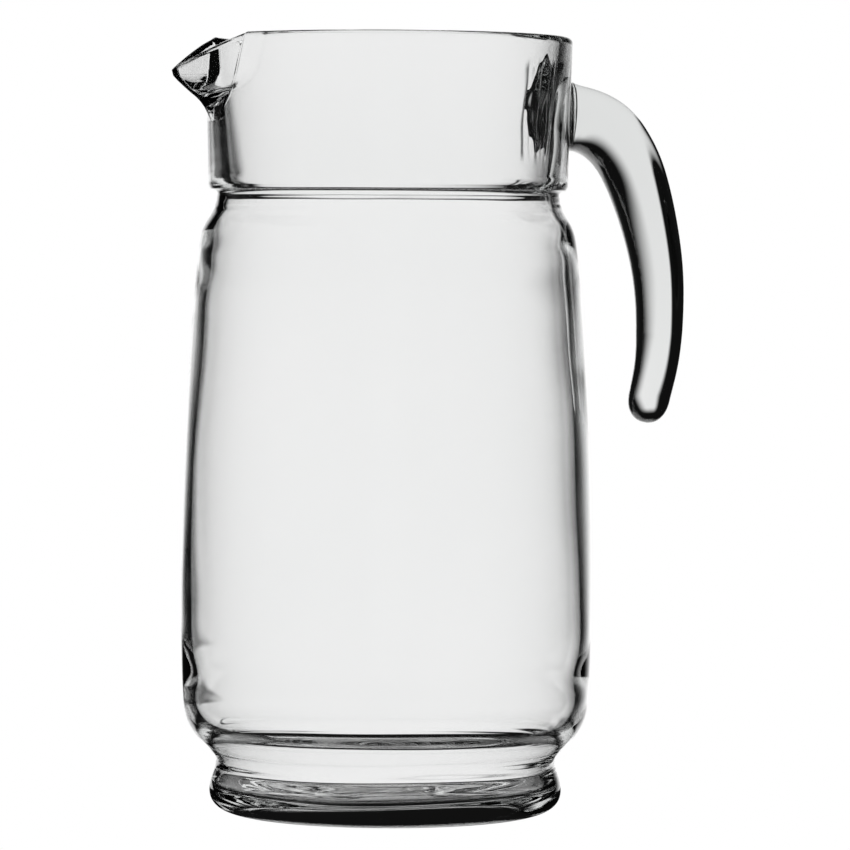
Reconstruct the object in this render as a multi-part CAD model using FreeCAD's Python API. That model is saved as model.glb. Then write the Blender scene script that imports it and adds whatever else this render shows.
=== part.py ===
import FreeCAD, Part
import math
import os

from FreeCAD import Vector

os.makedirs("parts", exist_ok=True)

# Clear glass water jug: a pressed neck with a folded pouring lip, a blown body
# on a hollow waisted foot, and a solid glass handle drawn out from the neck and
# left free at its lower end.  Millimetres, +Z up.  The origin is on the axis of
# the vessel, in the plane of the bearing ring.  The lip points along -X and the
# handle along +X.

# ------------------------------------------------------------------ dimensions
HEIGHT = 250.0            # rim above the surface the jug stands on
RIM_OUTER_R = 59.1        # outside of the neck at the rim
RIM_INNER_R = 54.9        # bore at the rim
BORE_FOOT_R = 50.9        # bore at the foot of the neck
RIM_ROUND = 2.0           # height of the rim's rounding
NECK_FOOT_Z = 202.0       # lower edge of the neck, above the groove
NECK_FOOT_R = 57.8
BEARING_IN_R = 43.0       # flat bearing ring that the jug rests on
BEARING_OUT_R = 49.0
PUNT_Z = 2.8              # underside lifts by this at the centre
FLOOR_Z = 6.2             # inside floor at the centre

# outside of the body from the heel to the groove: (radius, height)
BODY_OUTER = [
    (49.0, 0.0), (52.6, 0.75), (54.9, 2.2), (56.2, 4.2), (56.9, 7.2),
    (56.6, 10.0), (55.8, 12.6), (54.9, 15.2), (54.8, 17.0), (56.0, 19.4),
    (58.6, 22.2), (61.4, 25.2), (63.5, 28.4), (64.8, 32.2), (65.5, 37.5),
    (65.9, 46.0), (66.2, 60.0), (66.25, 78.0), (65.8, 100.0), (65.1, 120.0),
    (64.3, 138.0), (63.2, 156.0), (62.1, 170.0), (61.1, 180.5), (60.2, 186.4),
    (58.6, 190.6), (56.8, 193.8), (55.8, 196.0), (55.3, 198.6),
]
# inside of the body from the floor to the bore of the neck; it follows the
# waist of the foot, so the foot is hollow
BODY_INNER = [
    (0.0, 6.2), (14.0, 6.0), (27.0, 5.2), (36.0, 4.6), (41.0, 4.4), (45.3, 5.0),
    (48.8, 6.7), (51.3, 9.2), (51.9, 11.8), (51.6, 14.3), (51.1, 16.4),
    (51.1, 18.0), (52.1, 20.4), (54.1, 23.4), (56.3, 26.5), (59.0, 30.2),
    (60.8, 34.8), (61.6, 41.0), (62.6, 50.0), (63.1, 64.0), (63.2, 80.0),
    (62.8, 100.0), (61.9, 120.0), (60.8, 138.0), (59.4, 156.0), (58.1, 170.0),
    (56.9, 180.0), (55.4, 187.5), (54.0, 192.5), (52.5, 197.2), (51.4, 201.0),
    (50.9, 204.0),
]

# pouring lip: keel radius and half angle of the fold at each height
SPOUT = [
    # z,    keel r, half angle of the crease in degrees
    (221.5, 58.1, 7.0), (224.6, 59.5, 10.5), (226.7, 60.6, 12.8),
    (228.5, 61.9, 14.7), (229.9, 63.3, 16.2), (231.4, 65.2, 17.4),
    (233.2, 67.3, 18.6), (235.0, 69.3, 19.6), (236.6, 70.8, 20.5),
    (238.6, 71.4, 21.3), (244.0, 71.6, 23.4), (252.0, 71.6, 26.3),
]
# channel inside the lip: its floor is a steep ledge, and the glass under the
# ledge is solid
CHANNEL = [
    (230.2, 53.0, 6.0), (230.8, 56.2, 9.5), (231.4, 59.2, 14.0),
    (232.2, 62.2, 19.0), (233.0, 63.9, 21.5), (235.0, 66.3, 24.0),
    (237.0, 68.2, 26.0), (238.6, 68.8, 26.5), (244.0, 68.9, 28.5),
    (252.0, 69.0, 31.0),
]
SPOUT_NOSE_R = 1.2        # outside rounding of the keel
CHANNEL_NOSE_R = 0.9      # inside rounding along the lip
LIP_TIP_Z = 239.0         # height of the lip at the tip
LIP_CREASE_X = -53.2      # where the rim starts to fall towards the tip

# handle: centre (x, z), direction of the run below level in degrees,
# thickness in the plane of the handle, width across it
HANDLE = [
    (55.6, 224.9, 0.0, 26.4, 35.5), (58.6, 224.9, 1.0, 24.4, 31.5),
    (60.6, 224.75, 6.0, 22.1, 25.8), (64.2, 224.1, 17.0, 21.3, 24.2),
    (72.0, 220.7, 36.0, 20.7, 23.4), (78.0, 214.4, 49.5, 19.6, 22.9),
    (81.8, 207.15, 61.5, 18.5, 22.6), (84.65, 199.45, 69.0, 17.4, 22.3),
    (87.7, 188.75, 74.0, 16.1, 21.8), (90.15, 176.3, 80.5, 14.9, 21.0),
    (91.2, 163.8, 87.5, 14.0, 19.8), (91.2, 154.9, 92.5, 13.7, 19.0),
    (90.35, 144.3, 98.0, 13.2, 18.4), (88.75, 136.3, 102.0, 13.1, 18.2),
]
HANDLE_END = (88.4, 134.7, 102.6, 13.1, 18.2)   # centre of the round free end
HANDLE_END_LENGTH = 9.2
HANDLE_SECTIONS = 34
HANDLE_OUTER_POWER = 3.4  # 2 would be an ellipse, more is squarer
HANDLE_INNER_POWER = 2.5


def spline(points, every=3):
    """Smooth curve through the points, as edges of a few points each."""
    curve = Part.BSplineCurve()
    curve.interpolate([Vector(r, 0, z) for r, z in points])
    knots = curve.getKnots()
    stops = list(range(0, len(knots) - 2, every)) + [len(knots) - 1]
    edges = []
    for i, j in zip(stops, stops[1:]):
        piece = curve.copy()
        piece.segment(knots[i], knots[j])
        edges.append(piece.toShape())
    return edges


def line(a, b):
    return Part.LineSegment(Vector(a[0], 0, a[1]), Vector(b[0], 0, b[1])).toShape()


def arc(a, m, b):
    return Part.Arc(Vector(a[0], 0, a[1]), Vector(m[0], 0, m[1]), Vector(b[0], 0, b[1])).toShape()


def revolve(edges):
    face = Part.Face(Part.Wire(edges))
    return face.revolve(Vector(0, 0, 0), Vector(0, 0, 1), 360)


def neck_r(z):
    """Outside radius of the neck, which widens slightly towards the rim."""
    t = (z - NECK_FOOT_Z) / (HEIGHT - RIM_ROUND - NECK_FOOT_Z)
    return NECK_FOOT_R + (RIM_OUTER_R - NECK_FOOT_R) * t


def bore_r(z):
    """Inside radius of the neck."""
    t = (z - 204.0) / (HEIGHT - RIM_ROUND - 204.0)
    return BORE_FOOT_R + (RIM_INNER_R - BORE_FOOT_R) * t


# ------------------------------------------------------------------ vessel blank
rim_z = HEIGHT - RIM_ROUND
mid_r = (RIM_OUTER_R + RIM_INNER_R) / 2.0

outer_edges = [
    arc((0.0, PUNT_Z), (BEARING_IN_R * 0.56, PUNT_Z * 0.76), (BEARING_IN_R, 0.0)),
    line((BEARING_IN_R, 0.0), (BEARING_OUT_R, 0.0)),
    *spline(BODY_OUTER),
    arc((55.3, 198.6), (55.75, 200.6), (57.2, 201.6)),
    arc((57.2, 201.6), (57.65, 201.85), (NECK_FOOT_R, 202.4)),
    line((NECK_FOOT_R, 202.4), (RIM_OUTER_R, rim_z)),
    arc((RIM_OUTER_R, rim_z), (mid_r, HEIGHT), (RIM_INNER_R, rim_z)),
    line((RIM_INNER_R, rim_z), (0.0, rim_z)),
    line((0.0, rim_z), (0.0, PUNT_Z)),
]
blank = revolve(outer_edges)

inner_edges = [
    *spline(BODY_INNER),
    line((BORE_FOOT_R, 204.0), (RIM_INNER_R, rim_z)),
    line((RIM_INNER_R, rim_z), (RIM_INNER_R, HEIGHT + 6.0)),
    line((RIM_INNER_R, HEIGHT + 6.0), (0.0, HEIGHT + 6.0)),
    line((0.0, HEIGHT + 6.0), (0.0, FLOOR_Z)),
]
bore = revolve(inner_edges)

# outside of the neck alone, extended, to shape the handle's fused root
neck_core = revolve([
    line((0.0, 195.0), (neck_r(195.0), 195.0)),
    line((neck_r(195.0), 195.0), (neck_r(HEIGHT), HEIGHT)),
    line((neck_r(HEIGHT), HEIGHT), (0.0, HEIGHT)),
    line((0.0, HEIGHT), (0.0, 195.0)),
])


# ------------------------------------------------------------------ pouring lip
def beak_wire(z, tip, radius, half_deg, nose, back):
    """Level section of the beak: two straight flanks from the creases to a
    rounded nose, closed by straight sides that run back into the neck."""
    a = math.radians(half_deg)
    cx, cy = -radius * math.cos(a), radius * math.sin(a)
    length = math.hypot(cx + tip, cy)
    ux, uy = (cx + tip) / length, cy / length        # from the tip to the crease
    beta = math.atan2(cy, cx + tip)                  # flank to centre plane
    nose = min(nose, 0.35 * length * math.tan(beta))
    t = nose / math.tan(beta)                        # tip to the tangent point
    px, py = -tip + ux * t, uy * t
    centre_x = -tip + nose / math.sin(beta)
    front = centre_x - nose
    p = [
        Vector(-back, cy, z), Vector(cx, cy, z), Vector(px, py, z),
        Vector(front, 0, z), Vector(px, -py, z), Vector(cx, -cy, z),
        Vector(-back, -cy, z),
    ]
    return Part.Wire([
        Part.LineSegment(p[0], p[1]).toShape(),
        Part.LineSegment(p[1], p[2]).toShape(),
        Part.Arc(p[2], p[3], p[4]).toShape(),
        Part.LineSegment(p[4], p[5]).toShape(),
        Part.LineSegment(p[5], p[6]).toShape(),
        Part.LineSegment(p[6], p[0]).toShape(),
    ])


outer_sections = []
inner_sections = []
for z, keel, half in SPOUT:
    r = neck_r(z) - 0.15
    # the nose rounding takes the section back from its sharp corner
    a = math.radians(half)
    beta = math.atan2(r * math.sin(a), keel - r * math.cos(a))
    sharp = keel + SPOUT_NOSE_R * (1.0 / math.sin(beta) - 1.0)
    outer_sections.append(beak_wire(z, sharp, r, half, SPOUT_NOSE_R, 50.0))
for z, keel, half in CHANNEL:
    inner_sections.append(beak_wire(z, keel, bore_r(z) - 0.15, half, CHANNEL_NOSE_R, 34.0))

beak = Part.makeLoft(outer_sections, True, True)
hollow = Part.makeLoft(inner_sections, True, True)

# the rim falls in a straight slope from the creases to the tip
slope = math.atan2(HEIGHT - LIP_TIP_Z, 71.4 + LIP_CREASE_X)
trim = Part.makeBox(60, 120, 40, Vector(-60, -60, 0))
trim.rotate(Vector(0, 0, 0), Vector(0, 1, 0), -math.degrees(slope))
trim.translate(Vector(LIP_CREASE_X, 0, HEIGHT))
above = Part.makeBox(160, 120, 40, Vector(-110, -60, HEIGHT))
beak = beak.cut(above)

vessel = blank.fuse(beak).cut(bore).cut(hollow).cut(trim)
vessel = vessel.removeSplitter()


# ------------------------------------------------------------------ handle
def smooth(rows, steps):
    """Rows of numbers sampled evenly along a centripetal Catmull-Rom curve."""
    ends = [[2 * a - b for a, b in zip(rows[0], rows[1])]]
    tail = [[2 * a - b for a, b in zip(rows[-1], rows[-2])]]
    pts = ends + [list(r) for r in rows] + tail
    knots = [0.0]
    for p, q in zip(pts, pts[1:]):
        knots.append(knots[-1] + max(math.hypot(q[0] - p[0], q[1] - p[1]), 1e-6) ** 0.5)
    dense = []
    for i in range(1, len(pts) - 2):
        t0, t1, t2, t3 = knots[i - 1:i + 3]
        for k in range(40):
            t = t1 + (t2 - t1) * k / 40.0
            row = []
            for p0, p1, p2, p3 in zip(*pts[i - 1:i + 3]):
                a1 = (t1 - t) / (t1 - t0) * p0 + (t - t0) / (t1 - t0) * p1
                a2 = (t2 - t) / (t2 - t1) * p1 + (t - t1) / (t2 - t1) * p2
                a3 = (t3 - t) / (t3 - t2) * p2 + (t - t2) / (t3 - t2) * p3
                b1 = (t2 - t) / (t2 - t0) * a1 + (t - t0) / (t2 - t0) * a2
                b2 = (t3 - t) / (t3 - t1) * a2 + (t - t1) / (t3 - t1) * a3
                row.append((t2 - t) / (t2 - t1) * b1 + (t - t1) / (t2 - t1) * b2)
            dense.append(row)
    dense.append(list(rows[-1]))
    run = [0.0]
    for p, q in zip(dense, dense[1:]):
        run.append(run[-1] + math.hypot(q[0] - p[0], q[1] - p[1]))
    out = []
    j = 0
    for k in range(steps + 1):
        want = run[-1] * k / steps
        while j < len(run) - 2 and run[j + 1] < want:
            j += 1
        f = (want - run[j]) / max(run[j + 1] - run[j], 1e-9)
        out.append([a + (b - a) * f for a, b in zip(dense[j], dense[j + 1])])
    return out


def oval(cx, cz, down_deg, thick, width):
    """Squared oval section of the rod, square to its run, as a closed spline."""
    a = math.radians(down_deg)
    pts = []
    for k in range(32):
        t = 2 * math.pi * k / 32
        p = HANDLE_OUTER_POWER if math.sin(t) > 0 else HANDLE_INNER_POWER
        r = (abs(math.cos(t)) ** p + abs(math.sin(t)) ** p) ** (-1.0 / p)
        n = thick / 2.0 * r * math.sin(t)
        pts.append(Vector(cx + n * math.sin(a), width / 2.0 * r * math.cos(t), cz + n * math.cos(a)))
    curve = Part.BSplineCurve()
    curve.interpolate(Points=pts, PeriodicFlag=True)
    return Part.Wire([curve.toShape()])


rows = smooth(HANDLE + [HANDLE_END], HANDLE_SECTIONS)
sections = [oval(*s) for s in rows]
ex, ez, edeg, eth, ew = HANDLE_END
for phi in (20.0, 37.0, 52.0, 64.0, 73.0, 81.0):
    u = math.sin(math.radians(phi))
    d = HANDLE_END_LENGTH * u
    a = math.radians(edeg)
    full, slim = (1.0 - u ** 2.5) ** (1 / 2.2), (1.0 - u * u) ** 0.5
    sections.append(oval(ex + d * math.cos(a), ez - d * math.sin(a), edeg, eth * full, ew * slim))
# spans that share their end sections, each turning by less than 60 degrees
cuts = (0, 9, 20, HANDLE_SECTIONS - 6, len(sections) - 1)
rod = None
for a, b in zip(cuts, cuts[1:]):
    span = Part.makeLoft(sections[a:b + 1], True, False)
    rod = span if rod is None else rod.fuse(span)
rod = rod.removeSplitter()
handle = rod.cut(neck_core)

for name, shape in (("vessel", vessel), ("handle", handle)):
    solid = max(shape.Solids, key=lambda s: s.Volume)
    print(name, "valid", solid.isValid(), "solids", len(shape.Solids),
          "volume", round(solid.Volume, 1), "box", [round(v, 2) for v in (
              solid.BoundBox.XMin, solid.BoundBox.YMin, solid.BoundBox.ZMin,
              solid.BoundBox.XMax, solid.BoundBox.YMax, solid.BoundBox.ZMax)])
    solid.exportStep(os.path.join("parts", name + ".step"))

cavity = bore.common(Part.makeBox(200, 200, HEIGHT, Vector(-100, -100, 0)))
print("brimful litres", round(cavity.Volume / 1e6, 3))
print("vessel/handle overlap mm3", round(vessel.common(handle).Volume, 3))
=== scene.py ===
import math

import bpy
import numpy as np
from mathutils import Matrix, Vector


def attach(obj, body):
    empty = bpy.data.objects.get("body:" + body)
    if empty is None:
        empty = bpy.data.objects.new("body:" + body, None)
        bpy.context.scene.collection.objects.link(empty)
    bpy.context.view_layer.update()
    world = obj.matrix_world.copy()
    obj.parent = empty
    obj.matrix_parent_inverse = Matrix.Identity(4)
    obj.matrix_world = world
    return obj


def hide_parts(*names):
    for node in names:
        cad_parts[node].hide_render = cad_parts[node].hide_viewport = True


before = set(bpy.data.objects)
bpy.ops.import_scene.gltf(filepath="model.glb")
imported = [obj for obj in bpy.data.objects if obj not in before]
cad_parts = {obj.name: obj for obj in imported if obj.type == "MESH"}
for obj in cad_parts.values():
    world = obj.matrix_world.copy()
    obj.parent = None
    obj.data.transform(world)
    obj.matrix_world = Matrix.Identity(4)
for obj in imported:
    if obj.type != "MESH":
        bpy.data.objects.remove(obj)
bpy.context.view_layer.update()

MM = 0.001

# --------------------------------------------------------------------------
# Shape of the glass, in millimetres: +Z up, lip along -X, handle along +X
# --------------------------------------------------------------------------
HEIGHT = 250.0
RIM_ROUND = 1.8
RIM_FALL = 2.5
RIM_OUT = 59.05
BORE_FOOT = 51.12
BORE_RIM = 55.1            # the pressed bore opens evenly towards the rim

# outside, from the centre of the underside to the foot of the neck
OUTER = [
    (0.0, 3.06), (12.0, 2.71), (24.0, 2.02), (34.0, 1.21), (40.0, 0.43), (43.6, 0.08),
    (46.0, 0.0), (48.4, 0.12), (50.6, 0.55), (52.8, 1.35), (54.7, 2.6), (56.1, 4.4),
    (56.75, 7.0), (56.5, 9.8), (55.7, 12.5), (54.85, 15.2), (54.75, 17.2),
    (55.9, 19.5), (58.5, 22.3), (61.2, 25.2), (63.3, 28.4), (64.7, 32.2),
    (65.4, 37.5), (65.85, 46.0), (66.15, 60.0), (66.2, 78.0), (65.8, 100.0),
    (65.1, 120.0), (64.25, 138.0), (63.15, 156.0), (62.05, 170.0), (61.05, 180.5),
    (60.55, 184.3), (59.9, 187.2), (58.9, 189.6), (57.7, 191.7), (56.6, 193.5),
]
# the pressed ring under the neck: (radius, height, rounding)
RING = [(56.28, 194.2), (56.09, 194.8), (55.62, 196.0), (55.24, 197.6), (55.08, 198.7),
        (55.01, 199.5), (55.24, 200.1), (56.05, 200.55), (57.24, 200.9), (57.5, 201.4),
        (57.87, 202.2)]
# inside, from the centre of the floor to the foot of the bore
INNER = [
    (0.0, 6.15), (14.0, 6.02), (27.0, 4.89), (36.0, 4.44), (41.0, 4.08), (45.3, 4.79),
    (48.6, 6.56), (52.82, 9.1), (52.23, 11.8), (51.84, 14.3), (51.03, 16.4),
    (51.05, 18.0), (52.14, 20.4), (54.04, 23.4), (55.94, 26.5), (59.15, 30.2),
    (60.85, 34.8), (61.26, 41.0), (62.3, 50.0), (62.9, 64.0), (63.2, 80.0),
    (62.8, 100.0), (61.9, 120.0), (60.8, 138.0), (59.4, 156.0), (58.1, 170.0),
    (56.59, 180.92), (55.81, 188.39), (53.75, 192.08), (52.31, 196.77), (51.45, 201.45),
    (51.12, 204.0),
]
# pouring lip: height, keel radius, half angle between the creases (degrees)
SPOUT = [
    (218.5, 56.0, 2.0), (220.0, 57.0, 4.5), (221.5, 58.1, 7.0), (224.6, 59.5, 10.5),
    (226.7, 60.6, 12.8), (228.5, 61.9, 14.7), (229.9, 63.3, 16.2), (231.4, 65.2, 17.4),
    (233.2, 67.3, 18.6), (235.0, 69.3, 19.6), (236.6, 70.8, 20.5), (238.6, 71.35, 21.3),
    (244.0, 71.5, 23.4), (252.0, 71.5, 26.3),
]
# inside of the lip: height, keel radius, half angle
CHANNEL = [
    (229.0, 50.0, 3.0), (230.0, 53.2, 4.5), (230.7, 55.9, 7.5), (231.4, 59.2, 11.0),
    (232.2, 62.2, 15.0), (233.0, 63.9, 18.0), (234.0, 65.2, 20.5), (235.0, 66.3, 22.5),
    (237.0, 68.2, 25.2), (238.6, 68.8, 26.3), (244.0, 68.9, 28.5), (252.0, 69.0, 31.0),
]
LIP_TIP_Z = 239.0
LIP_CREASE_X = 53.2
NOSE_R = 1.0
CHANNEL_NOSE_R = 0.8
CREASE_DEPTH = 0.20
LIP_ROUND = 0.9          # the rim is thinner along the lip

# handle: centre (x, z), degrees below level, thickness, width
HANDLE = [
    (56.6, 226.6, 0.0, 30.6, 31.0), (57.6, 225.8, 0.5, 27.4, 33.5), (58.6, 224.9, 1.0, 24.4, 30.8),
    (59.6, 224.85, 3.0, 23.0, 26.7), (60.6, 224.75, 6.0, 22.1, 25.0),
    (62.0, 224.5, 10.5, 21.6, 24.7), (64.2, 224.1, 17.0, 21.3, 24.4),
    (72.0, 220.7, 36.0, 20.7, 24.2), (78.0, 214.4, 49.5, 19.6, 24.2),
    (81.8, 207.15, 61.5, 18.5, 24.1), (84.65, 199.45, 69.0, 17.4, 23.9),
    (87.7, 188.75, 74.0, 16.1, 23.0), (90.15, 176.3, 80.5, 14.9, 21.5),
    (91.2, 163.8, 87.5, 14.0, 20.0), (91.2, 154.9, 92.5, 13.7, 19.0),
    (90.35, 144.3, 98.0, 13.2, 18.4), (88.75, 136.3, 102.0, 13.1, 18.2),
    (88.4, 134.7, 102.6, 13.1, 18.2),
]
HANDLE_END_LENGTH = 9.2
HANDLE_OUTER_POWER = 3.9      # 2 is an ellipse; more is squarer
HANDLE_INNER_POWER = 2.5
HANDLE_ROOT_X = 57.2          # how deep the root is fused into the neck's wall


def spline(points, count=None, step=None):
    """Natural cubic spline through rows of numbers, spaced evenly by the
    distance between their first two columns."""
    p = np.array(points, dtype=float)
    t = np.concatenate([[0.0], np.cumsum(np.hypot(*np.diff(p[:, :2], axis=0).T))])
    n = len(t)
    h = np.diff(t)
    a = np.zeros((n, n))
    b = np.zeros((n, p.shape[1]))
    a[0, 0] = a[-1, -1] = 1.0
    for i in range(1, n - 1):
        a[i, i - 1], a[i, i], a[i, i + 1] = h[i - 1], 2 * (h[i - 1] + h[i]), h[i]
        b[i] = 6 * ((p[i + 1] - p[i]) / h[i] - (p[i] - p[i - 1]) / h[i - 1])
    m = np.linalg.solve(a, b)
    if count is None:
        count = int(t[-1] / step) + 1
    u = np.linspace(0.0, t[-1], count)
    k = np.clip(np.searchsorted(t, u) - 1, 0, n - 2)
    hk = h[k][:, None]
    x0 = (u - t[k])[:, None]
    x1 = hk - x0
    return ((m[k] * x1 ** 3 + m[k + 1] * x0 ** 3) / (6 * hk)
            + (p[k] / hk - m[k] * hk / 6) * x1 + (p[k + 1] / hk - m[k + 1] * hk / 6) * x0)


def smoothstep(x):
    x = np.clip(x, 0.0, 1.0)
    return x * x * (3 - 2 * x)


def table(rows, z, column):
    return np.interp(z, [row[0] for row in rows], [row[column] for row in rows])


def neck_out(z):
    return 57.85 + (RIM_OUT - 57.85) * (z - 202.2) / (HEIGHT - RIM_ROUND - 202.2)


def neck_in(z):
    return BORE_FOOT + (BORE_RIM - BORE_FOOT) * (z - 204.0) / (HEIGHT - 204.0)


def beak(phi, z, rows, radius, nose, fillet):
    """Radius of the neck with its folded lip, at angle phi from the lip."""
    keel = table(rows, z, 1)
    half = np.radians(table(rows, z, 2))
    beta = np.full_like(half, math.radians(60.0))
    for _ in range(12):                        # flank to centre plane
        sharp = keel + nose * (1.0 / np.sin(beta) - 1.0)
        beta = np.clip(np.arctan2(radius * np.sin(half), sharp - radius * np.cos(half)), 0.4, 1.55)
    s = np.abs(phi)
    flank = sharp * np.sin(beta) / np.sin(np.minimum(s + beta, math.pi / 2))
    centre = sharp - nose / np.sin(beta)
    inside = np.maximum(nose ** 2 - (centre * np.sin(s)) ** 2, 0.0)
    round_nose = centre * np.cos(s) + np.sqrt(inside)
    tangent = np.arctan2(nose * np.cos(beta), centre + nose * np.sin(beta))
    flank = np.where(s < tangent, round_nose, flank)
    over = np.where(s < half, flank - radius, -(s - half) * radius * 0.3)
    over = np.where(keel > radius, over, np.minimum(over, keel - radius))
    # smooth union with the round neck
    h = np.clip(0.5 + 0.5 * over / fillet, 0.0, 1.0)
    return radius + over * h + fillet * h * (1 - h) * 0.5


def outer_radius(phi, z):
    r = beak(phi, z, SPOUT, neck_out(z), NOSE_R, 0.16)
    # the fold is nipped in along its crease
    off = (np.abs(phi) - np.radians(table(SPOUT, z, 2))) * neck_out(z)
    return r - CREASE_DEPTH * smoothstep((z - 226.0) / 4.0) * np.exp(-(off / 0.40) ** 2)


def inner_radius(phi, z):
    return beak(phi, z, CHANNEL, neck_in(z), CHANNEL_NOSE_R, 1.0)


def rim_drop(phi, depth):
    """How far the rim's rounding reaches down, at angle phi."""
    t = smoothstep((np.degrees(np.abs(phi)) - 17.0) / 9.0)
    return LIP_ROUND + (depth - LIP_ROUND) * t


def lip_height(phi):
    """Height of the rim at angle phi: level, then falling to the tip."""
    z = np.full_like(phi, HEIGHT)
    for _ in range(8):
        x = outer_radius(phi, np.minimum(z, HEIGHT)) * np.cos(phi)
        t = np.clip((71.5 - x) / (71.5 - LIP_CREASE_X), 0.0, 1.0)
        drop = (HEIGHT - LIP_TIP_Z) * (1.0 - (1.22 * t - 0.22 * t * t))
        z = np.where(x > LIP_CREASE_X, HEIGHT - drop, HEIGHT)
    return z


def wave(phi, z, seed, scale):
    """Slow unevenness of blown glass: a fixed sum of waves round and along."""
    w = np.zeros(np.broadcast(phi, z).shape)
    for i in range(7):
        n = 1 + (i * seed) % 5
        p = 0.7 * i + seed
        w = w + np.cos(n * phi + p + z * (0.031 + 0.012 * i)) * np.sin(z / (11.0 + 4.0 * i) + 1.3 * p) / (1.0 + 0.6 * i)
    return w * scale


def vessel_mesh():
    # angles: fine across the lip, even elsewhere
    lip = np.radians(np.linspace(-33.0, 33.0, 221))
    rest = np.radians(np.linspace(33.0, 327.0, 295))[1:-1]
    phi = np.concatenate([lip, rest])
    count = len(phi)

    outer = spline(OUTER, step=0.9)
    ring = spline([OUTER[-1]] + RING, step=0.22)[1:]
    inner = spline(INNER, step=0.9)
    top = lip_height(phi)
    wrapped = np.where(phi > math.pi, phi - 2 * math.pi, phi)
    fall_out, fall_in = rim_drop(wrapped, RIM_ROUND), rim_drop(wrapped, RIM_FALL)
    rows = []                                   # each: (radius array, height array)
    for r, z in outer:
        rows.append((np.full(count, r), np.full(count, z)))
    for r, z in ring:
        rows.append((np.full(count, r), np.full(count, z)))
    for t in np.linspace(0.0, 1.0, 17)[1:]:     # neck below the lip
        z = np.full(count, 202.2 + (218.0 - 202.2) * t)
        rows.append((neck_out(z), z))
    for t in np.linspace(0.0, 1.0, 111)[1:]:    # neck with the lip
        z = 218.0 + (top - fall_out - 218.0) * t
        rows.append((outer_radius(phi, z), z))
    zo = top - fall_out
    ro = outer_radius(phi, zo)
    zi = top - fall_in
    ri = inner_radius(phi, zi)
    for a in np.linspace(0.0, math.pi, 21)[1:-1]:     # fire-polished rim
        mid, half = (ro + ri) / 2.0, (ro - ri) / 2.0
        drop = (fall_out if a < math.pi / 2 else fall_in) * (1.0 - math.sin(a))
        rows.append((mid + half * math.cos(a), top - drop))
    for t in np.linspace(0.0, 1.0, 121):
        z = zi + (218.0 - zi) * t
        rows.append((inner_radius(phi, z), z))
    for t in np.linspace(0.0, 1.0, 13)[1:]:
        z = np.full(count, 218.0 + (204.0 - 218.0) * t)
        rows.append((neck_in(z), z))
    start = len(rows)
    for r, z in inner[::-1][1:]:
        rows.append((np.full(count, r), np.full(count, z)))
    # behind the handle's root the inside of the neck is drawn and rippled
    for i, (r, z) in enumerate(rows[:start]):
        if i > start - 140:
            u = (phi - math.pi) * 53.0
            area = (smoothstep((17.0 - np.abs(u + 0.6 * np.sin(z / 4.0))) / 5.0) * smoothstep((z - 207.0) / 7.0)
                    * smoothstep((243.5 - z) / 6.0))
            ripple = (0.36 * np.cos(u * 0.52 + 0.9 * np.sin(z / 6.5) + 0.4) + 0.20 * np.cos(u * 1.05 - 1.1 * np.sin(z / 5.0 + 1.0))
                      + 0.16 * np.sin(z / 3.1 + u * 0.4))
            rows[i] = (r - area * (0.55 + ripple), z)
    # the groove's inside line wanders
    for i in range(start - 14, start + 18):
        r, z = rows[i]
        near = smoothstep((z - 186.0) / 6.0) * smoothstep((208.0 - z) / 5.0)
        rows[i] = (r, z + near * (0.44 * np.sin(3 * phi + 1.2) + 0.36 * np.sin(7 * phi + 0.3) + 0.16 * np.sin(13 * phi)))
    # the underside is chilled and slightly rippled
    for i in range(1, 60):
        r, z = rows[i]
        fade = smoothstep((42.0 - r) / 6.0) * smoothstep((r - 4.0) / 10.0)
        rows[i] = (r, z + fade * (wave(phi, r * 1.7, 3, 0.11) + 0.10 * np.sin(r * 0.9 + 1.5 * np.sin(2 * phi))))
    # the blown inside is a little uneven
    for i in range(start, len(rows)):
        r, z = rows[i]
        fade = smoothstep((200.0 - z) / 25.0) * smoothstep((r - 20.0) / 30.0)
        heavy = smoothstep((z - 50.0) / 50.0) * smoothstep((196.0 - z) / 30.0)
        r = r - heavy * 1.1 * (0.5 + 0.5 * np.cos(phi - 2.9)) ** 2
        low = smoothstep((36.0 - z) / 22.0)
        rows[i] = (r + fade * (wave(phi, z, 3, 0.10) + low * wave(phi, z * 2.1, 2, 0.34)), z + smoothstep((r - 4.0) / 24.0) * smoothstep((24.0 - z) / 8.0) * wave(phi, z + r, 4, 0.22))

    verts = []
    for r, z in rows[1:-1]:
        for k in range(count):
            verts.append((-r[k] * math.cos(phi[k]) * MM, -r[k] * math.sin(phi[k]) * MM, z[k] * MM))
    verts.append((0.0, 0.0, float(rows[0][1][0]) * MM))
    verts.append((0.0, 0.0, float(np.mean(rows[-1][1])) * MM))
    first, last = len(verts) - 2, len(verts) - 1
    n_rows = len(rows) - 2
    faces = []
    for i in range(n_rows - 1):
        a, b = i * count, (i + 1) * count
        for k in range(count):
            j = (k + 1) % count
            faces.append((a + k, a + j, b + j, b + k))
    for k in range(count):
        j = (k + 1) % count
        faces.append((first, j, k))
        b = (n_rows - 1) * count
        faces.append((last, b + k, b + j))
    return make_object("vessel_glass_body", verts, faces)


def rounded(count, outer, inner):
    """Unit section of the rod: (across the thickness, across the width)."""
    pts = []
    for k in range(count):
        t = 2 * math.pi * k / count
        p = outer if math.sin(t) > 0 else inner
        r = (abs(math.cos(t)) ** p + abs(math.sin(t)) ** p) ** (-1.0 / p)
        pts.append((r * math.sin(t), r * math.cos(t)))
    return pts


def ragged(point, k, count, amount):
    """Uneven outline of the glass where the root is fused on."""
    t = 2 * math.pi * k / count
    f = 1.0 + amount * (0.045 * math.sin(5 * t + 1.0) + 0.035 * math.sin(9 * t + 0.4) + 0.02 * math.sin(14 * t))
    return point[0] * f, point[1] * f


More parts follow.
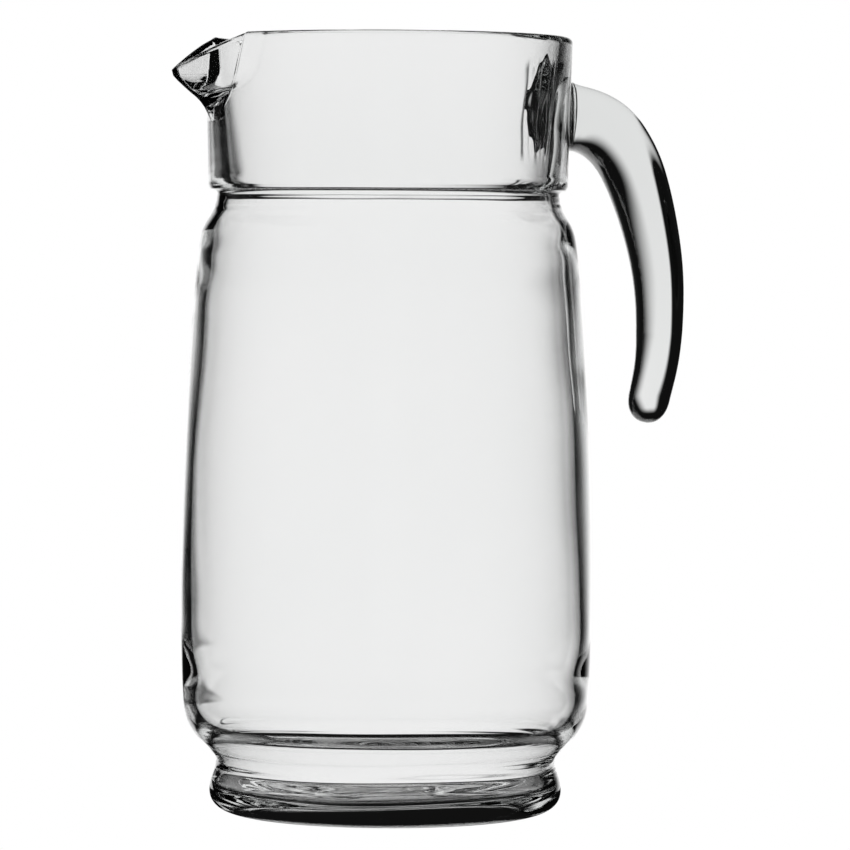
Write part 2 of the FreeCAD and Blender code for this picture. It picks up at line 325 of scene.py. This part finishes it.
def handle_mesh():
    rows = spline(HANDLE, step=0.6)
    sections = [tuple(r) for r in rows]
    # the squared section grows out of the round root and ends in a round cap
    square = [min(1.0, k / 9.0, max(0.0, (len(sections) - 1 - k) / 34.0)) for k in range(len(sections))]
    x, z, down, thick, width = sections[-1]
    a = math.radians(down)
    for f in np.linspace(0.0, math.pi / 2, 25)[1:-1]:
        u = math.sin(f)
        d = HANDLE_END_LENGTH * u
        full, slim = (1.0 - u ** 2.5) ** (1 / 2.2), (1.0 - u * u) ** 0.5
        sections.append((x + d * math.cos(a), z - d * math.sin(a), down, thick * full, width * slim))
        square.append(0.0)
    tip = (x + HANDLE_END_LENGTH * math.cos(a), z - HANDLE_END_LENGTH * math.sin(a))
    count = 120
    verts = []
    for (sx, sz, sd, st, sw), q in zip(sections, square):
        inner = HANDLE_INNER_POWER
        outer = HANDLE_OUTER_POWER - 0.8 * float(smoothstep((175.0 - sz) / 25.0) + smoothstep((sz - 204.0) / 12.0))
        unit = rounded(count, 2.0 + (outer - 2.0) * q, 2.0 + (inner - 2.0) * q)
        rag = float(smoothstep((58.9 - sx) / 1.6))
        if rag > 0.0:
            unit = [ragged(u, k, count, rag) for k, u in enumerate(unit)]
        b = math.radians(sd)
        for k in range(count):
            n, y = st / 2 * unit[k][0], sw / 2 * unit[k][1]
            px, pz = sx + n * math.sin(b), sz + n * math.cos(b)
            # the first sections follow the round of the neck
            if sx < 63.0:
                f = smoothstep((63.0 - sx) / 4.6)
                px += f * (math.sqrt(max(58.5 ** 2 - y * y, 0.0)) - 58.5)
            verts.append((px * MM, y * MM, pz * MM))
    faces = []
    for i in range(len(sections) - 1):
        a0, b0 = i * count, (i + 1) * count
        for k in range(count):
            j = (k + 1) % count
            faces.append((a0 + k, b0 + k, b0 + j, a0 + j))
    verts.append((tip[0] * MM, 0.0, tip[1] * MM))
    end = len(verts) - 1
    b0 = (len(sections) - 1) * count
    for k in range(count):
        faces.append((end, b0 + (k + 1) % count, b0 + k))
    # the buried root face, ring by ring so that it stays parallel to the bore
    sx, sz, sd, st, sw = sections[0]
    unit = [ragged(u, k, count, 1.0) for k, u in enumerate(rounded(count, 2.0, 2.0))]
    previous = list(range(count))
    for s in (0.8, 0.6, 0.4, 0.2):
        ring = []
        for k in range(count):
            n, y = s * st / 2 * unit[k][0], s * sw / 2 * unit[k][1]
            px = sx + math.sqrt(max(58.5 ** 2 - y * y, 0.0)) - 58.5
            verts.append((px * MM, y * MM, (sz + n) * MM))
            ring.append(len(verts) - 1)
        for k in range(count):
            j = (k + 1) % count
            faces.append((previous[k], previous[j], ring[j], ring[k]))
        previous = ring
    verts.append((sx * MM, 0.0, sz * MM))
    for k in range(count):
        faces.append((previous[k], previous[(k + 1) % count], len(verts) - 1))
    return make_object("handle_glass_rod", verts, faces)


def make_object(name, verts, faces):
    mesh = bpy.data.meshes.new(name)
    mesh.from_pydata(verts, [], faces)
    mesh.validate()
    import bmesh
    bm = bmesh.new()
    bm.from_mesh(mesh)
    bmesh.ops.recalc_face_normals(bm, faces=bm.faces)
    bm.to_mesh(mesh)
    bm.free()
    mesh.polygons.foreach_set("use_smooth", [True] * len(mesh.polygons))
    mesh.update()
    obj = bpy.data.objects.new(name, mesh)
    bpy.context.scene.collection.objects.link(obj)
    return obj


# --------------------------------------------------------------------------
# Glass
# --------------------------------------------------------------------------
def glass(name, tint_a, tint_b, wave_size, wave_depth, absorbs):
    mat = bpy.data.materials.new(name)
    mat.use_nodes = True
    nt = mat.node_tree
    nt.nodes.clear()
    out = nt.nodes.new("ShaderNodeOutputMaterial")
    bsdf = nt.nodes.new("ShaderNodeBsdfPrincipled")
    bsdf.inputs["Transmission Weight"].default_value = 1.0
    bsdf.inputs["IOR"].default_value = 1.52
    bsdf.inputs["Metallic"].default_value = 0.0
    coord = nt.nodes.new("ShaderNodeTexCoord")
    # slight variation of the melt's colour
    cloud = nt.nodes.new("ShaderNodeTexNoise")
    cloud.inputs["Scale"].default_value = 14.0
    cloud.inputs["Detail"].default_value = 2.0
    ramp = nt.nodes.new("ShaderNodeValToRGB")
    ramp.color_ramp.elements[0].position = 0.3
    ramp.color_ramp.elements[0].color = (*tint_a, 1.0)
    ramp.color_ramp.elements[1].position = 0.7
    ramp.color_ramp.elements[1].color = (*tint_b, 1.0)
    nt.links.new(coord.outputs["Object"], cloud.inputs["Vector"])
    nt.links.new(cloud.outputs["Fac"], ramp.inputs["Fac"])
    nt.links.new(ramp.outputs["Color"], bsdf.inputs["Base Color"])
    # fire-polished skin: almost no roughness, a trace more in patches of the noise
    haze = nt.nodes.new("ShaderNodeMapRange")
    haze.inputs["From Min"].default_value = 0.35
    haze.inputs["From Max"].default_value = 0.75
    haze.inputs["To Min"].default_value = 0.0
    haze.inputs["To Max"].default_value = 0.006
    nt.links.new(cloud.outputs["Fac"], haze.inputs["Value"])
    nt.links.new(haze.outputs["Result"], bsdf.inputs["Roughness"])
    # slow cords and ripples frozen into the surface
    ripple = nt.nodes.new("ShaderNodeTexNoise")
    ripple.inputs["Scale"].default_value = wave_size
    ripple.inputs["Detail"].default_value = 1.0
    stretch = nt.nodes.new("ShaderNodeMapping")
    stretch.inputs["Scale"].default_value = (1.0, 1.0, 0.45)
    bump = nt.nodes.new("ShaderNodeBump")
    bump.inputs["Strength"].default_value = 1.0
    bump.inputs["Distance"].default_value = wave_depth
    nt.links.new(coord.outputs["Object"], stretch.inputs["Vector"])
    nt.links.new(stretch.outputs["Vector"], ripple.inputs["Vector"])
    nt.links.new(ripple.outputs["Fac"], bump.inputs["Height"])
    nt.links.new(bump.outputs["Normal"], bsdf.inputs["Normal"])
    nt.links.new(bsdf.outputs["BSDF"], out.inputs["Surface"])
    # the melt takes a little light on the way through
    melt = nt.nodes.new("ShaderNodeVolumeAbsorption")
    melt.inputs["Color"].default_value = (0.0, 0.04, 0.02, 1.0)
    melt.inputs["Density"].default_value = absorbs
    nt.links.new(melt.outputs["Volume"], out.inputs["Volume"])
    return mat


vessel = vessel_mesh()
handle = handle_mesh()
vessel.data.materials.append(glass("vessel_glass", (0.985, 0.988, 0.987), (1.0, 1.0, 1.0), 34.0, 0.00006, 5.0))
handle.data.materials.append(glass("handle_glass", (0.975, 0.98, 0.978), (0.995, 0.996, 0.996), 40.0, 0.00004, 11.0))
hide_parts("vessel")
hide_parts("handle")
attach(vessel, "root")
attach(handle, "root")


# --------------------------------------------------------------------------
# Studio: white paper behind, dark above and to the sides
# --------------------------------------------------------------------------
DARK = 0.006
SHADE = 0.02
PAPER = 1.05              # the paper is a little brighter than white


def add(nt, op, a, b=None, c=None):
    n = nt.nodes.new("ShaderNodeMath")
    n.operation = op
    for i, v in enumerate((a, b, c)):
        if v is None:
            continue
        if isinstance(v, (int, float)):
            n.inputs[i].default_value = v
        else:
            nt.links.new(v, n.inputs[i])
    return n.outputs[0]


def ramp(nt, value, lo, hi, to_lo=0.0, to_hi=1.0):
    n = nt.nodes.new("ShaderNodeMapRange")
    n.interpolation_type = "SMOOTHSTEP"
    n.inputs["From Min"].default_value = lo
    n.inputs["From Max"].default_value = hi
    n.inputs["To Min"].default_value = to_lo
    n.inputs["To Max"].default_value = to_hi
    nt.links.new(value, n.inputs["Value"])
    return n.outputs["Result"]


def dot(nt, vector, xyz):
    n = nt.nodes.new("ShaderNodeVectorMath")
    n.operation = "DOT_PRODUCT"
    n.inputs[1].default_value = xyz
    nt.links.new(vector, n.inputs[0])
    return n.outputs["Value"]


def paper(nt, ahead, left, offset, up=None, painted_shade_inset=None):
    """Brightness of the paper behind the jug: even in the middle, then falling
    off, softly to the right."""
    run = add(nt, "MAXIMUM", ahead, 0.0001)
    aside = add(nt, "SUBTRACT", left, offset)
    if painted_shade_inset is not None:
        # on the floor an inset is added to the side, a painted shade that narrows the lit part on the left
        aside = add(nt, "ADD", aside, painted_shade_inset)
    aside = add(nt, "ARCTAN2", aside, run)
    other = add(nt, "ARCTAN2", add(nt, "SUBTRACT", add(nt, "MULTIPLY", left, -1.0), offset), run)
    a = math.radians
    if up is not None:
        other = add(nt, "MULTIPLY_ADD", add(nt, "MAXIMUM", up, 0.0), 0.6, other)
    on_left = ramp(nt, aside, a(15.0), a(24.0), PAPER, 0.0)
    on_right = ramp(nt, other, a(8.5), a(30.0), 1.0, 0.0)
    both = add(nt, "MULTIPLY", on_left, on_right)
    return add(nt, "MULTIPLY", both, add(nt, "GREATER_THAN", ahead, 0.0))


def split(nt, vector, degrees):
    """How far ahead and how far to the left of a level direction."""
    a = math.radians(degrees)
    return (dot(nt, vector, (math.cos(a), math.sin(a), 0.0)),
            dot(nt, vector, (-math.sin(a), math.cos(a), 0.0)))


def bearing(nt, vector, degrees):
    """Angle in degrees from a level direction, positive to its left."""
    ahead, left = split(nt, vector, degrees)
    return add(nt, "MULTIPLY", add(nt, "ARCTAN2", left, ahead), 180.0 / math.pi)


def painted_light_strip(nt, vector, degrees, base, spread, near, far):
    """Strip of painted light on the floor that runs away from the jug and widens."""
    a = math.radians(degrees)
    ahead = dot(nt, vector, (math.cos(a), math.sin(a), 0.0))
    left = dot(nt, vector, (-math.sin(a), math.cos(a), 0.0))
    half = add(nt, "MULTIPLY_ADD", ahead, spread, base)
    ratio = add(nt, "DIVIDE", add(nt, "ABSOLUTE", left), add(nt, "MAXIMUM", half, 0.001))
    m = ramp(nt, ratio, 0.85, 1.15, 1.0, 0.0)
    m = add(nt, "MULTIPLY", m, ramp(nt, ahead, near * 0.85, near * 1.15))
    return add(nt, "MULTIPLY", m, ramp(nt, ahead, far, far * 1.25, 1.0, 0.0))


def straight(nt, level):
    """Light that only shines through the glass and doesn't glint off it."""
    path = nt.nodes.new("ShaderNodeLightPath")
    return add(nt, "MULTIPLY", level, add(nt, "LESS_THAN", path.outputs["Glossy Depth"], 0.5))


def seen(nt, level):
    """The paper fills the view; the glass sees only the lit part of it."""
    path = nt.nodes.new("ShaderNodeLightPath")
    mixed = nt.nodes.new("ShaderNodeMix")
    mixed.data_type = "FLOAT"
    nt.links.new(path.outputs["Is Camera Ray"], mixed.inputs[0])
    nt.links.new(level, mixed.inputs[2])
    mixed.inputs[3].default_value = 1.0
    return mixed.outputs[0]


def build_world():
    world = bpy.data.worlds.new("studio")
    world.use_nodes = True
    nt = world.node_tree
    nt.nodes.clear()
    out = nt.nodes.new("ShaderNodeOutputWorld")
    bg = nt.nodes.new("ShaderNodeBackground")
    coord = nt.nodes.new("ShaderNodeTexCoord")
    way = coord.outputs["Generated"]
    height = dot(nt, way, (0.0, 0.0, 1.0))
    low = ramp(nt, height, math.sin(math.radians(18.0)), math.sin(math.radians(34.0)), 1.0, 0.0)
    main = bearing(nt, way, 76.0)
    back = paper(nt, *split(nt, way, 76.0), 0.0, height)
    side = add(nt, "ABSOLUTE", bearing(nt, way, 180.0))
    side = straight(nt, ramp(nt, side, 11.0, 18.0, 0.97, 0.0))
    lit = add(nt, "MULTIPLY", add(nt, "MAXIMUM", back, side), low)
    # grey walls of the room, well to the sides
    far = add(nt, "ABSOLUTE", main)
    walls = add(nt, "MULTIPLY", ramp(nt, far, 32.0, 55.0), ramp(nt, far, 85.0, 110.0, SHADE, 0.0))
    lit = add(nt, "MAXIMUM", lit, add(nt, "MULTIPLY", walls, low))
    nt.links.new(seen(nt, add(nt, "MAXIMUM", lit, DARK)), bg.inputs["Strength"])
    bg.inputs["Color"].default_value = (1.0, 1.0, 1.0, 1.0)
    nt.links.new(bg.outputs[0], out.inputs["Surface"])
    bpy.context.scene.world = world


def build_floor():
    mesh = bpy.data.meshes.new("studio_floor")
    n, radius = 96, 30.0
    verts = [(radius * math.cos(2 * math.pi * k / n), radius * math.sin(2 * math.pi * k / n), -0.0002) for k in range(n)]
    mesh.from_pydata(verts, [], [tuple(range(n))])
    obj = bpy.data.objects.new("studio_floor", mesh)
    bpy.context.scene.collection.objects.link(obj)
    mat = bpy.data.materials.new("studio_floor")
    mat.use_nodes = True
    nt = mat.node_tree
    nt.nodes.clear()
    out = nt.nodes.new("ShaderNodeOutputMaterial")
    glow = nt.nodes.new("ShaderNodeEmission")
    geo = nt.nodes.new("ShaderNodeNewGeometry")
    where = geo.outputs["Position"]
    ahead, left = split(nt, where, 76.0)
    # painted shade: on the left the painted lit floor draws in a little way behind the jug
    painted_shade_inset = ramp(nt, ahead, 0.20, 0.40, 0.0, 0.085)
    # painted light and painted shadow: for the glass the floor glows only in a patch from 72–98 mm behind the jug's
    # axis, and stays dark under and around the jug
    lit = add(nt, "MULTIPLY", paper(nt, ahead, left, 0.075, None, painted_shade_inset), ramp(nt, ahead, 0.072, 0.098))
    # painted light: glowing strips on the floor that only the glass sees
    for strip in PAINTED_LIGHT_STRIPS:
        lit = add(nt, "MAXIMUM", lit, straight(nt, painted_light_strip(nt, where, *strip)))
    nt.links.new(seen(nt, add(nt, "MAXIMUM", lit, DARK)), glow.inputs["Strength"])
    glow.inputs["Color"].default_value = (1.0, 1.0, 1.0, 1.0)
    nt.links.new(glow.outputs[0], out.inputs["Surface"])
    mesh.materials.append(mat)


# painted light: strips of glowing floor that show only through the glass, for the sides the paper isn't
# behind: direction, half width at the jug, widening, where it starts and ends
PAINTED_LIGHT_STRIPS = [
    (180.0, 0.085, 0.20, 0.35, 60.0),
    (135.0, 0.085, 0.15, 0.07, 0.85),
    (315.0, 0.085, 0.15, 0.07, 1.7),
]


build_world()
build_floor()

# --------------------------------------------------------------------------
# Camera
# --------------------------------------------------------------------------
TURN = 14.0              # the lip is turned this far towards the camera
DISTANCE = 1.65
EYE_Z = 0.183
LENS = 216.8
AIM_X, AIM_Z = 0.01223, 0.12515    # what the middle of the frame looks at, beside the axis
ROLL = 0.33

t = math.radians(90.0 - TURN)
ahead = Vector((math.cos(t), math.sin(t), 0.0))
right = Vector((math.sin(t), -math.cos(t), 0.0))
eye = -ahead * DISTANCE + Vector((0.0, 0.0, EYE_Z))
aim = right * AIM_X + Vector((0.0, 0.0, AIM_Z))
cam_data = bpy.data.cameras.new("camera")
cam_data.sensor_width = 36.0
cam_data.lens = LENS
cam_data.clip_start = 0.05
cam_data.clip_end = 100.0
camera = bpy.data.objects.new("camera", cam_data)
bpy.context.scene.collection.objects.link(camera)
look = (aim - eye).to_track_quat("-Z", "Y").to_matrix().to_4x4()
camera.matrix_world = Matrix.Translation(eye) @ look @ Matrix.Rotation(math.radians(ROLL), 4, "Z")
bpy.context.scene.camera = camera

scene = bpy.context.scene
scene.view_settings.view_transform = "Standard"
scene.view_settings.look = "None"
scene.view_settings.exposure = 0.0
scene.cycles.max_bounces = 32
scene.cycles.transmission_bounces = 32
scene.cycles.glossy_bounces = 16
scene.cycles.diffuse_bounces = 2
scene.cycles.caustics_refractive = True
scene.cycles.caustics_reflective = True
scene.cycles.sample_clamp_indirect = 0.0
